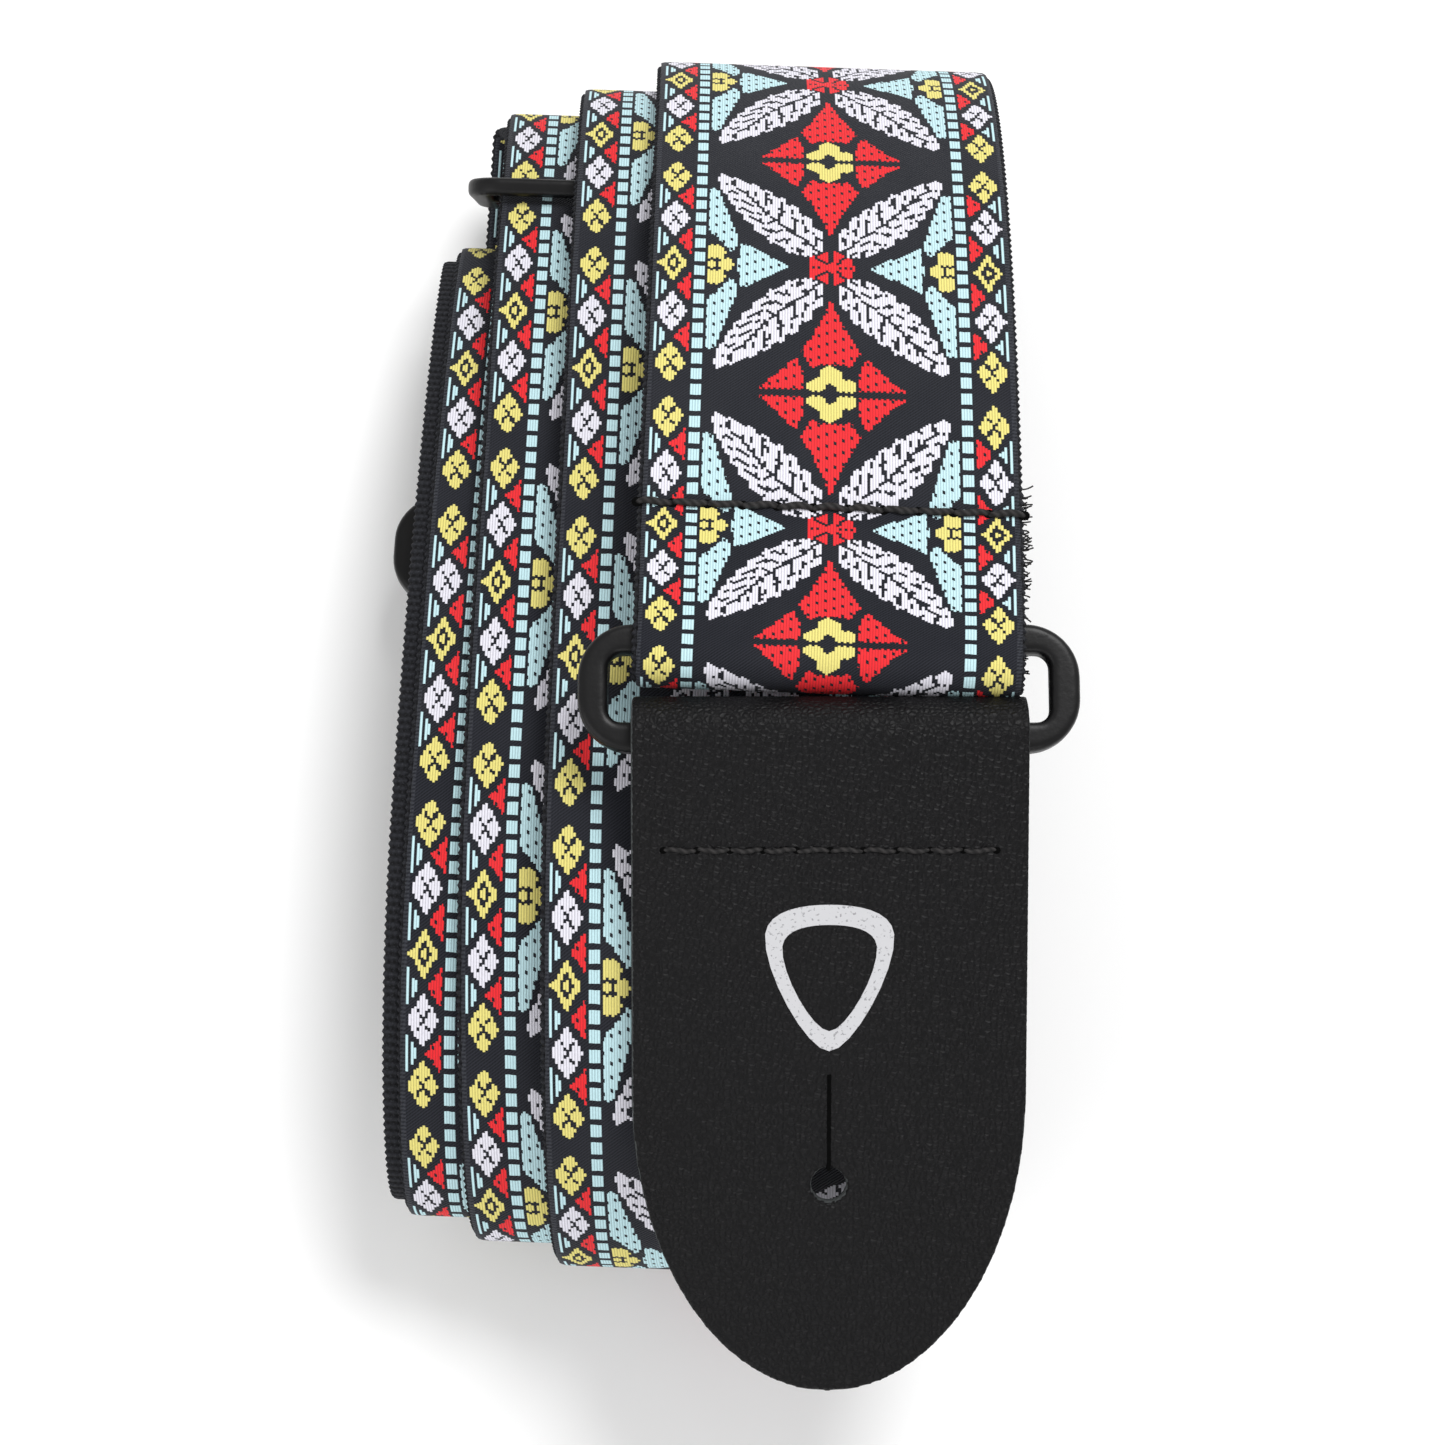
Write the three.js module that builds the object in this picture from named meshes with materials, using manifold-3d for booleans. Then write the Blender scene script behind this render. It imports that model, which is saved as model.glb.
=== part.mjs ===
// Coiled guitar strap: jacquard ribbon on webbing, two oval rings, two leather
// tabs with keyholes, and a three-bar length slider. Millimetres, +Z up.
// Origin: the middle of the coil's footprint, on the table. The runs of the
// coil lie along Y; ring A and its tab lie on top, and the tab points to -Y.
import * as THREE from "three";
import Module from "manifold-3d";
import { mergeVertices } from "three/addons/utils/BufferGeometryUtils.js";

const wasm = await Module();
wasm.setup();

// ---- strap section ----
const STRAP_WIDTH = 50.8;
const RIBBON_WIDTH = 49.6;
const PLY = 1.7;
const RIBBON = 0.5;
const SKIN_GAP = 0.3;
const PLY_PITCH = 2.1;

// ---- coil ----
const FAR_REACH = 127;
const NEAR_REACH = 57.5;
const FAR_PITCH = 3.8;
const NEAR_PITCH = 3.0;
const CORE_STEP = 20;
const CREST_CORE = 38.65;
const CREST_RISE = 30.85;
const CREST_DECAY = 0.53;
const BOTTOM_PITCH = 3.2;
const BOTTOM_CORE_STEP = 1.2;
const SAG = 1.65;
const COIL_X = 13.8;
const TURN_SHIFT = 11.6;
const CORE_SHIFT = 3.8;
const COIL_TURN_DEG = -2.2;
const TABLE_GAP = 0.05;
const COIL_Y = -27.27;
const COIL_X_SHIFT = 1.13;
const BASE_Z = -0.238;

// ---- rings ----
const RING_LENGTH = 64.8;
const RING_HEIGHT = 16.8;
const RING_BAR = 3.9;
const RING_THICK = 3.6;
const RING_BEVEL = 0.8;
const RING_CORNER = 6.2;
const RING_HOLE_CORNER = 2.6;
const BAR_PITCH = RING_HEIGHT - RING_BAR;
const BAR_CLEAR = 2.5;

// ---- leather tabs ----
const LEATHER = 2.3;
const TAB_REACH = 85.5;
const TAB_ROUND = 39;
const TAB_SEAM = 14.5;
const TAB_FLAP = 18.5;
const KEYHOLE_FROM_TIP = 27.4;
const KEYHOLE_RADIUS = 2.3;
const SLIT_LENGTH = 12.2;
const SLIT_WIDTH = 0.7;
const TAB_FOLD_SLACK = 0.65;
const EMBLEM_FROM_TIP = 54.5;
const EMBLEM_HEIGHT = 19;
const EMBLEM_WIDTH = 16.5;

// ---- places ----
const RING_A_Y = 15;
const RING_A_TILT = 6;
const TAB_A_SLOPE = 21;
const STRAP_FOLD_SLACK = 1.7;
const SEAM_A_FROM_BAR = 17.5;
const FLAP_A = 25;
const RING_A_START = 0.0275;
const RETURN_SHIFT = -2.2;
const RING_B_TURN = 3.4;

// Stitches stand this proud of the face.
const THREAD = 0.5;

// ---- slider ----
const SLIDER_TURN = 2 + 1.075 / (2 * Math.PI);
const SLIDER_LENGTH = 60;
const SLIDER_SLOT = 52.6;
const SLIDER_CORNER = 4.4;
const SLIDER_BAR = 2.6;
const SLIDER_BAR_PITCH = 10.1;
const SLIDER_TILT = 46;
const SLIDER_CLEAR = 0.5;
const SLIDER_ROOM = 3.0;
const TAIL_FLAP_TURN = 0.021;

const TAU = 2 * Math.PI;
const rad = THREE.MathUtils.degToRad;
const smooth = THREE.MathUtils.smoothstep;

// Mid-surface of the coiled ply at a turn count n, 0 at the first crest.
function coilPoint(n) {
  const t = TAU * n;
  const crest = CREST_CORE + CREST_RISE * CREST_DECAY ** n;
  const low = TABLE_GAP + PLY / 2 + BOTTOM_PITCH * Math.max(n - 0.42, 0)
    + BOTTOM_CORE_STEP * smooth(n, 2.6, 3.2);
  const far = FAR_REACH - FAR_PITCH * n - CORE_STEP * smooth(n, 2.6, 3.1);
  const near = NEAR_REACH - NEAR_PITCH * n;
  const reach = Math.sin(t) > 0 ? far : near;
  const lift = ((1 + Math.cos(t)) / 2) ** SAG;
  const room = SLIDER_ROOM * smooth(n, 1.05, 1.16) * (1 - smooth(n, 1.16, 1.27));
  return {
    x: COIL_X - TURN_SHIFT * n + CORE_SHIFT * Math.max(0, n - 2) ** 2,
    y: reach * Math.sin(t),
    z: low + (crest - low) * lift + room,
  };
}

// Unit direction of travel at a turn count, in the plane of the coil.
function coilHeading(n) {
  const a = coilPoint(n - 0.0005);
  const b = coilPoint(n + 0.0005);
  const length = Math.hypot(b.y - a.y, b.z - a.z);
  return { y: (b.y - a.y) / length, z: (b.z - a.z) / length };
}

// A point beside the coiled ply: inset towards the inside of the coil.
function insetPoint(n, inset, shift = 0) {
  const p = coilPoint(n);
  const h = coilHeading(n);
  return { x: p.x + shift, y: p.y + h.z * inset, z: p.z - h.y * inset };
}

// Turn counts from a to b, closer together where the coil bends.
function turnCounts(a, b) {
  const counts = [];
  const sign = Math.sign(b - a);
  let n = a;
  while ((b - n) * sign > 1e-9) {
    counts.push(n);
    const bend = Math.abs(Math.sin(TAU * n));
    n += sign * THREE.MathUtils.lerp(0.024, 0.011, bend ** 2);
  }
  counts.push(b);
  return counts;
}

// Half circle of stations from below a bar, round its near side, to above it.
function foldRoundBar(centre, radius, x, tilt, steps = 8) {
  const stations = [];
  for (let i = 0; i <= steps; i += 1) {
    const angle = -Math.PI / 2 - Math.PI * i / steps + tilt;
    stations.push({
      x,
      y: centre.y + radius * Math.cos(angle),
      z: centre.z + radius * Math.sin(angle),
    });
  }
  return stations;
}

// A flat band swept along stations: across is the half width, and the band
// lies between two offsets from the mid-surface, outside being positive.
function sweptBand(stations, across, inner, outer) {
  const positions = [];
  stations.forEach((p, i) => {
    const a = stations[Math.max(i - 1, 0)];
    const b = stations[Math.min(i + 1, stations.length - 1)];
    const length = Math.hypot(b.y - a.y, b.z - a.z);
    const ny = -(b.z - a.z) / length;
    const nz = (b.y - a.y) / length;
    for (const [w, o] of [[-1, inner], [1, inner], [1, outer], [-1, outer]]) {
      positions.push(p.x + w * across, p.y + ny * o, p.z + nz * o);
    }
  });
  const faces = [];
  for (let i = 0; i + 1 < stations.length; i += 1) {
    for (let k = 0; k < 4; k += 1) {
      const a = 4 * i + k;
      const b = 4 * i + (k + 1) % 4;
      faces.push(a, b, b + 4, a, b + 4, a + 4);
    }
  }
  const last = 4 * (stations.length - 1);
  faces.push(0, 2, 1, 0, 3, 2, last, last + 1, last + 2, last, last + 2, last + 3);
  const geometry = new THREE.BufferGeometry();
  geometry.setAttribute("position", new THREE.Float32BufferAttribute(positions, 3));
  geometry.setIndex(faces);
  return facingOut(geometry);
}

// Signed volume decides which way the faces point; they are turned outwards.
function facingOut(geometry) {
  const p = geometry.getAttribute("position");
  const index = geometry.getIndex().array;
  const [a, b, c] = [new THREE.Vector3(), new THREE.Vector3(), new THREE.Vector3()];
  let volume = 0;
  for (let i = 0; i < index.length; i += 3) {
    a.fromBufferAttribute(p, index[i]);
    b.fromBufferAttribute(p, index[i + 1]);
    c.fromBufferAttribute(p, index[i + 2]);
    volume += a.dot(b.cross(c));
  }
  if (volume < 0) {
    for (let i = 0; i < index.length; i += 3) {
      [index[i], index[i + 1]] = [index[i + 1], index[i]];
    }
  }
  geometry.computeVertexNormals();
  return geometry;
}

function toSolid(geometry) {
  const bare = geometry.clone();
  bare.deleteAttribute("normal");
  bare.deleteAttribute("uv");
  const merged = mergeVertices(bare, 1e-4);
  return new wasm.Manifold(new wasm.Mesh({
    numProp: 3,
    vertProperties: new Float32Array(merged.getAttribute("position").array),
    triVerts: new Uint32Array(merged.getIndex().array),
  }));
}

function toGeometry(solid) {
  const mesh = solid.getMesh();
  const geometry = new THREE.BufferGeometry();
  geometry.setAttribute("position", new THREE.BufferAttribute(mesh.vertProperties, 3));
  geometry.setIndex(new THREE.BufferAttribute(mesh.triVerts, 1));
  geometry.computeVertexNormals();
  return geometry;
}

// ---- materials ----
function finish(color, roughness, metalness = 0) {
  return new THREE.MeshStandardMaterial({ color, roughness, metalness });
}
const webbingFinish = finish(0x1b1c20, 0.85);
const jacquardFinish = finish(0x8fa6ab, 0.75);
const plasticFinish = finish(0x1d1d1f, 0.38);
const leatherFinish = finish(0x19181a, 0.55);
const threadFinish = finish(0x141416, 0.8);
const foilFinish = finish(0xc9c9c6, 0.4, 0.8);

const strap = new THREE.Group();
strap.rotation.z = rad(COIL_TURN_DEG);
strap.position.set(COIL_X_SHIFT, COIL_Y, BASE_Z);

function add(name, geometry, material, parent = strap) {
  const mesh = new THREE.Mesh(geometry, material);
  mesh.name = name;
  parent.add(mesh);
  return mesh;
}

// ---- route of the strap ----
const foldRadius = BAR_CLEAR + PLY / 2;
const ringATop = coilPoint(RING_A_START);
const ringABar = { y: RING_A_Y + BAR_PITCH / 2, z: ringATop.z - foldRadius };
const ringAFold = { y: ringABar.y - STRAP_FOLD_SLACK, z: ringABar.z };
const ringBFold = insetPoint(RING_B_TURN, foldRadius);

// Under flap at ring A, from its cut end to the fold.
function flapA() {
  const stations = [];
  const steps = 6;
  for (let i = 0; i < steps; i += 1) {
    const run = FLAP_A * (1 - i / steps);
    const close = smooth(run, 0, SEAM_A_FROM_BAR);
    const above = coilPoint(RING_A_START + run / (TAU * FAR_REACH));
    const drop = THREE.MathUtils.lerp(2 * foldRadius, PLY_PITCH, close);
    stations.push({ x: ringATop.x, y: ringAFold.y + run, z: above.z - drop });
  }
  return stations;
}

// The doubled ply inside the outer one, from ring B back to the slider.
function returnPly(from, to) {
  return turnCounts(from, to).map((n) => {
    const opening = smooth(n, from - 0.14, from);
    const inset = THREE.MathUtils.lerp(PLY_PITCH, 2 * foldRadius, opening);
    const join = smooth(n, to, to + 0.08);
    return insetPoint(n, inset, THREE.MathUtils.lerp(0, RETURN_SHIFT, join * (1 - opening)));
  });
}

// Place, heading and normal of the strap where the slider sits.
const sliderPoint = coilPoint(SLIDER_TURN);
const sliderHeading = coilHeading(SLIDER_TURN);
const RETURN_END = SLIDER_TURN + 0.016;

const mainTurns = turnCounts(RING_A_START, RING_B_TURN);
const ringBTilt = Math.atan2(-coilHeading(RING_B_TURN).z, -coilHeading(RING_B_TURN).y);
const route = [
  ...flapA(),
  ...foldRoundBar(ringAFold, foldRadius, ringATop.x, 0).slice(0, -1),
  ...mainTurns.map(coilPoint),
  ...foldRoundBar(ringBFold, foldRadius, coilPoint(RING_B_TURN).x, ringBTilt).slice(1, -1),
  ...returnPly(RING_B_TURN, RETURN_END),
];
const webbingOuter = PLY / 2 - RIBBON - SKIN_GAP / 2;
add("strap_webbing", sweptBand(route, STRAP_WIDTH / 2, -PLY / 2, webbingOuter), webbingFinish);
add("jacquard_ribbon",
  sweptBand(route, RIBBON_WIDTH / 2, PLY / 2 - RIBBON + SKIN_GAP / 2, PLY / 2), jacquardFinish);

// A row of stitches lying on the strap's face at a turn count.
const seamTurn = RING_A_START + SEAM_A_FROM_BAR / (TAU * FAR_REACH);
const seamPlace = insetPoint(seamTurn, -PLY / 2 - SKIN_GAP - THREAD / 2);
const seamA = add("ring_seam_thread", new THREE.BoxGeometry(STRAP_WIDTH - 3, 0.9, THREAD), threadFinish);
seamA.position.set(seamPlace.x, seamPlace.y, seamPlace.z);
seamA.rotation.x = Math.atan2(coilHeading(seamTurn).z, coilHeading(seamTurn).y);

// ---- oval ring: a rounded frame with two straight bars ----
function stadium(length, height, corner) {
  const r = Math.min(0.42 * height, corner);
  const x = length / 2 - r;
  const y = height / 2 - r;
  const shape = new THREE.Shape();
  shape.absarc(x, -y, r, -Math.PI / 2, 0);
  shape.absarc(x, y, r, 0, Math.PI / 2);
  shape.absarc(-x, y, r, Math.PI / 2, Math.PI);
  shape.absarc(-x, -y, r, Math.PI, 1.5 * Math.PI);
  return shape;
}

function ringGeometry() {
  const inset = RING_BEVEL;
  const shape = stadium(RING_LENGTH - 2 * inset, RING_HEIGHT - 2 * inset, RING_CORNER);
  const holeLength = RING_LENGTH - 2 * RING_BAR;
  const holeHeight = RING_HEIGHT - 2 * RING_BAR;
  shape.holes.push(stadium(holeLength + 2 * inset, holeHeight + 2 * inset, RING_HOLE_CORNER));
  const geometry = new THREE.ExtrudeGeometry(shape, {
    depth: RING_THICK - 2 * inset,
    bevelSize: inset,
    bevelThickness: inset,
    bevelSegments: 2,
    curveSegments: 5,
  });
  geometry.translate(0, 0, -RING_THICK / 2 + inset);
  return geometry;
}

// ---- leather tab: side profile folded round the bar, then the long flap ----
// Local frame: the fold's centre at the origin, the flap along -Y, +Z up.
const leatherMid = BAR_CLEAR + LEATHER / 2;
const leatherOut = BAR_CLEAR + LEATHER;

function tabFold() {
  const underEnd = leatherMid - LEATHER / 2;
  const profile = new THREE.Shape();
  profile.absarc(0, 0, leatherOut, Math.PI / 2, -Math.PI / 2, true);
  profile.lineTo(-3, -leatherOut);
  profile.lineTo(-TAB_SEAM + 3, underEnd - LEATHER);
  profile.lineTo(-TAB_FLAP, underEnd - LEATHER);
  profile.lineTo(-TAB_FLAP, leatherOut);
  profile.closePath();
  const eye = new THREE.Path();
  eye.absarc(0, 0, BAR_CLEAR, -Math.PI / 2, Math.PI / 2);
  eye.lineTo(-TAB_SEAM + 4.5, BAR_CLEAR);
  eye.lineTo(-TAB_SEAM + 4.5, BAR_CLEAR - 0.4);
  eye.lineTo(-2.6, -BAR_CLEAR);
  eye.closePath();
  profile.holes.push(eye);
  const geometry = new THREE.ExtrudeGeometry(profile, {
    depth: STRAP_WIDTH,
    bevelEnabled: false,
    curveSegments: 10,
  });
  // The profile's X turns to Y, its Y to Z, and the depth runs across along X.
  geometry.rotateY(Math.PI / 2);
  geometry.rotateX(Math.PI / 2);
  geometry.translate(-STRAP_WIDTH / 2, 0, 0);
  return geometry;
}

function tabFlap() {
  const half = STRAP_WIDTH / 2;
  const straight = TAB_REACH - TAB_ROUND;
  const shape = new THREE.Shape();
  shape.absellipse(0, -straight, half, TAB_ROUND, Math.PI, TAU);
  shape.lineTo(half, -TAB_FLAP + 6);
  shape.lineTo(-half, -TAB_FLAP + 6);
  shape.closePath();
  const hole = new THREE.Path();
  const holeY = -(TAB_REACH - KEYHOLE_FROM_TIP);
  const open = Math.asin(SLIT_WIDTH / 2 / KEYHOLE_RADIUS);
  hole.absarc(0, holeY, KEYHOLE_RADIUS, Math.PI / 2 + open, TAU + Math.PI / 2 - open);
  hole.lineTo(SLIT_WIDTH / 2, holeY + KEYHOLE_RADIUS + SLIT_LENGTH);
  hole.lineTo(-SLIT_WIDTH / 2, holeY + KEYHOLE_RADIUS + SLIT_LENGTH);
  hole.closePath();
  shape.holes.push(hole);
  const geometry = new THREE.ExtrudeGeometry(shape, {
    depth: LEATHER,
    bevelEnabled: false,
    curveSegments: 14,
  });
  geometry.translate(0, 0, BAR_CLEAR);
  return geometry;
}

function tabGeometry() {
  return toGeometry(toSolid(tabFold()).add(toSolid(tabFlap())));
}

// Row of stitches across the tab, and the plectrum outline pressed on it.
function tabThread(name, tab) {
  const bar = new THREE.BoxGeometry(STRAP_WIDTH - 10, 0.8, THREAD);
  const row = add(name, bar, threadFinish, tab);
  row.position.set(0, -TAB_SEAM, leatherOut + SKIN_GAP + THREAD / 2);
  return row;
}

function plectrum(width, height) {
  const shape = new THREE.Shape();
  const w = width / 2;
  shape.moveTo(0, -height / 2);
  shape.bezierCurveTo(w * 0.35, -height / 2, w * 1.05, height * 0.05, w, height * 0.3);
  shape.bezierCurveTo(w * 0.95, height * 0.47, w * 0.4, height / 2, 0, height / 2);
  shape.bezierCurveTo(-w * 0.4, height / 2, -w * 0.95, height * 0.47, -w, height * 0.3);
  shape.bezierCurveTo(-w * 1.05, height * 0.05, -w * 0.35, -height / 2, 0, -height / 2);
  return shape;
}

function addEmblem(name, tab) {
  const shape = plectrum(EMBLEM_WIDTH, EMBLEM_HEIGHT);
  shape.holes.push(plectrum(EMBLEM_WIDTH - 4.4, EMBLEM_HEIGHT - 5.2));
  const geometry = new THREE.ExtrudeGeometry(shape, {
    depth: 0.3,
    bevelEnabled: false,
    curveSegments: 8,
  });
  const mesh = add(name, geometry, foilFinish, tab);
  mesh.position.set(0, -(TAB_REACH - EMBLEM_FROM_TIP), leatherOut + SKIN_GAP);
  return mesh;
}

// A ring on a bar of the fold, and a tab on its other bar.
function addRingAndTab(letter, bar, x, ringTilt, tabSlope, yaw = 0) {
  const ringGroup = new THREE.Group();
  ringGroup.position.set(x, bar.y, bar.z);
  ringGroup.rotation.set(rad(ringTilt), 0, rad(yaw), "ZYX");
  strap.add(ringGroup);
  const ring = add(`ring_${letter}`, ringGeometry(), plasticFinish, ringGroup);
  ring.position.y = -BAR_PITCH / 2;
  const tab = new THREE.Group();
  tab.position.y = -BAR_PITCH;
  tab.rotation.x = rad(tabSlope - ringTilt);
  ringGroup.add(tab);
  const slack = new THREE.Group();
  slack.position.y = TAB_FOLD_SLACK;
  tab.add(slack);
  add(`leather_tab_${letter}`, tabGeometry(), leatherFinish, slack);
  tabThread(`tab_${letter}_thread`, slack);
  addEmblem(`tab_${letter}_emblem`, slack);
}

addRingAndTab("a", ringABar, ringATop.x, RING_A_TILT, TAB_A_SLOPE, -COIL_TURN_DEG);
addRingAndTab("b", ringBFold, coilPoint(RING_B_TURN).x, 0, 0);

// ---- slider: frame with a centre bar, tilted across the strap ----
const sliderGroup = new THREE.Group();
const centreDrop = PLY / 2 + SLIDER_CLEAR + PLY + SKIN_GAP + SLIDER_BAR / 2;
const sliderCentre = insetPoint(SLIDER_TURN, centreDrop);
const strapAngle = Math.atan2(sliderHeading.z, sliderHeading.y);
sliderGroup.position.set(sliderPoint.x, sliderCentre.y, sliderCentre.z);
sliderGroup.rotation.x = strapAngle;
strap.add(sliderGroup);

function sliderGeometry() {
  const height = 2 * SLIDER_BAR_PITCH + SLIDER_BAR;
  const bevel = 0.7;
  const frame = stadium(SLIDER_LENGTH - 2 * bevel, height - 2 * bevel, SLIDER_CORNER);
  const slotHeight = SLIDER_BAR_PITCH - SLIDER_BAR;
  for (const side of [-1, 1]) {
    const slot = new THREE.Path();
    const y = side * SLIDER_BAR_PITCH / 2;
    const [w, h] = [SLIDER_SLOT / 2 + bevel, slotHeight / 2 + bevel];
    slot.moveTo(-w, y - h);
    slot.lineTo(w, y - h);
    slot.lineTo(w, y + h);
    slot.lineTo(-w, y + h);
    slot.closePath();
    frame.holes.push(slot);
  }
  const geometry = new THREE.ExtrudeGeometry(frame, {
    depth: SLIDER_BAR - 2 * bevel,
    bevelSize: bevel,
    bevelThickness: bevel,
    bevelSegments: 2,
    curveSegments: 5,
  });
  geometry.translate(0, 0, -SLIDER_BAR / 2 + bevel);
  return geometry;
}
const slider = add("slider", sliderGeometry(), plasticFinish, sliderGroup);
slider.rotation.x = -rad(SLIDER_TILT);

// Tail of the webbing, folded round the slider's centre bar: a short flap
// under the bar, the fold, and the ply over the bar that meets the return ply.
const tailRadius = SLIDER_BAR / 2 + SKIN_GAP + 0.1 + PLY / 2;
const tailStations = [
  insetPoint(SLIDER_TURN + TAIL_FLAP_TURN, centreDrop + tailRadius + 0.1),
  insetPoint(SLIDER_TURN + TAIL_FLAP_TURN * 0.66, centreDrop + tailRadius + 0.1),
  insetPoint(SLIDER_TURN + TAIL_FLAP_TURN * 0.33, centreDrop + tailRadius),
  ...foldRoundBar(sliderCentre, tailRadius, sliderPoint.x, strapAngle),
  insetPoint(SLIDER_TURN + 0.007, centreDrop - tailRadius),
].map((p) => ({ x: sliderPoint.x, y: p.y, z: p.z }));
add("tail_webbing", sweptBand(tailStations, STRAP_WIDTH / 2, -PLY / 2, PLY / 2), webbingFinish);

export default strap;
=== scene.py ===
# Looks of the coiled guitar strap, in the CAD frame: metres, +Z up. The strap's
# route is worked out in millimetres, with the same formulas as in the CAD part.
# Only the fold round ring A differs: it reaches 1.2 mm nearer to the leather.
import math

import bmesh
import bpy
import numpy as np
from mathutils import Matrix, Vector


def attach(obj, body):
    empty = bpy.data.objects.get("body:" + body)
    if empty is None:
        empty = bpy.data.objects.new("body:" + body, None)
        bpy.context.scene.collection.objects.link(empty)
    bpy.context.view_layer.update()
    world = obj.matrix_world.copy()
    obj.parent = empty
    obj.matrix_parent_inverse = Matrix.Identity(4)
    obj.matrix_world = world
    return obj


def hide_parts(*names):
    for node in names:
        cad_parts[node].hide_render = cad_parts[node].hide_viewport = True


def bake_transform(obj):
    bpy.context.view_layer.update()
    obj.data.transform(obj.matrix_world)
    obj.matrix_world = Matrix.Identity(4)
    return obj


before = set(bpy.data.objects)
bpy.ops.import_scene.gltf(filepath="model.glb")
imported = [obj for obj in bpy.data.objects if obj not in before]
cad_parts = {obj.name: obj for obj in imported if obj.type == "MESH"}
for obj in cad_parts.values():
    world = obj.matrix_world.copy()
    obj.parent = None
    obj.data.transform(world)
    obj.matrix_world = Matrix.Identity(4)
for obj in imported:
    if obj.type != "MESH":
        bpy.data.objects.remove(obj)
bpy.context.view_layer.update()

TAU = math.tau
MM = 0.001

# ---- strap route: lengths in mm, places along the coil in turns ----
STRAP_HALF = 25.4
RIBBON_HALF = 24.8
PLY = 1.7
PLY_PITCH = 2.1
RIBBON_LOW, RIBBON_TOP = 0.5, 0.85
WEBBING_LOW, WEBBING_TOP = -0.85, 0.2
FAR_REACH, NEAR_REACH = 127.0, 57.5
FAR_PITCH, NEAR_PITCH, CORE_STEP = 3.8, 3.0, 20.0
CREST_CORE, CREST_RISE, CREST_DECAY = 38.65, 30.85, 0.53
BOTTOM_PITCH, BOTTOM_CORE_STEP, TABLE_GAP = 3.2, 1.2, 0.05
BOTTOM_STACK_START = 0.42
CORE_START, CORE_REACH_END, CORE_LOW_END = 2.6, 3.1, 3.2
SAG = 1.65
COIL_X, TURN_SHIFT, CORE_SHIFT, CORE_SHIFT_START = 13.8, 11.6, 3.8, 2
HEADING_STEP = 0.0005
SLIDER_TURN = 2 + 1.075 / TAU
# The plies outside the slider bulge to give it room.
SLIDER_ROOM = 3.0
ROOM_OPENS, ROOM_FULL, ROOM_CLOSES = 1.05, 1.16, 1.27
RING_A_START, RING_B_TURN = 0.0275, 3.4
RETURN_END = SLIDER_TURN + 0.016
RETURN_SHIFT, RETURN_JOIN_TURNS = -2.2, 0.08
RING_B_OPENING_TURNS = 0.14
FOLD_RADIUS = 3.35
RING_BAR_Y, FOLD_SLACK = 21.45, 2.9
# Runs of the flap under the strap, from the fold round ring A.
FLAP_START, FLAP_CLOSES, SEAM_RUN, FLAP_RUN = 1, 3, 17.5, 25.0
COIL_TURN = math.radians(-2.2)
COIL_PLACE = np.array([1.13, -27.27, -0.238])
# Turns of the return ply that give way to the slider.
GIVE_TURNS = 0.05

# ---- weave, mm ----
REPEAT = 44.0
FLOWER_AT = -4.2
THREAD_PITCH, PICK_PITCH = 0.37, 0.5
TICK_PITCH_ACROSS, TICK_PITCH_ALONG = 1.1, 1.85
# The figures are this much shorter between the seam and the fold.
TIGHT_FOLD = 1.36
RIB_PITCH = 1.1
RIB_DEPTH, RIB_SIDE_DEPTH = 0.09, 0.3
BACKING_SPACING, RIBBON_SPACING = RIB_PITCH / 4, 0.8
# Edges of the ribbon's face: steps in from the rim, and how far each dips.
RIM_STEPS = np.array([0.05, 0.5, 1.6])
RIM_DIPS = np.array([0.2, 0.07, 0.0])


def smooth(x, low, high):
    t = np.clip((np.asarray(x, float) - low) / (high - low), 0, 1)
    return t * t * (3 - 2 * t)


def coil(n):
    """A point on the strap's middle line after n turns."""
    n = np.asarray(n, float)
    t = TAU * n
    crest = CREST_CORE + CREST_RISE * CREST_DECAY**n
    low = TABLE_GAP + PLY / 2 + BOTTOM_PITCH * np.maximum(n - BOTTOM_STACK_START, 0)
    low = low + BOTTOM_CORE_STEP * smooth(n, CORE_START, CORE_LOW_END)
    far = FAR_REACH - FAR_PITCH * n - CORE_STEP * smooth(n, CORE_START, CORE_REACH_END)
    near = NEAR_REACH - NEAR_PITCH * n
    reach = np.where(np.sin(t) > 0, far, near)
    lift = ((1 + np.cos(t)) / 2) ** SAG
    room = SLIDER_ROOM * smooth(n, ROOM_OPENS, ROOM_FULL) * (1 - smooth(n, ROOM_FULL, ROOM_CLOSES))
    x = COIL_X - TURN_SHIFT * n + CORE_SHIFT * np.maximum(0, n - CORE_SHIFT_START) ** 2
    return np.stack([x, reach * np.sin(t), low + (crest - low) * lift + room], -1)


def heading(n):
    """The direction of the ply after n turns, square to the strap's width."""
    step = coil(np.asarray(n) + HEADING_STEP) - coil(np.asarray(n) - HEADING_STEP)
    step[..., 0] = 0
    return step / np.linalg.norm(step, axis=-1, keepdims=True)


def inset(n, depth, shift=0.0):
    """A point beside the coiled ply, towards the inside of the coil."""
    p, h = coil(n), heading(n)
    y = p[..., 1] + h[..., 2] * depth
    z = p[..., 2] - h[..., 1] * depth
    return np.stack([p[..., 0] + shift, y, z], -1)


def half_circle(centre, radius, x, tilt, steps=24):
    """A fold round a bar: before the tilt, from below it, past its -Y side, to above it."""
    a = -math.pi / 2 - math.pi * np.arange(steps + 1) / steps + tilt
    y = centre[1] + radius * np.cos(a)
    z = centre[2] + radius * np.sin(a)
    return np.stack([np.full(a.shape, x), y, z], -1)


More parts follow.
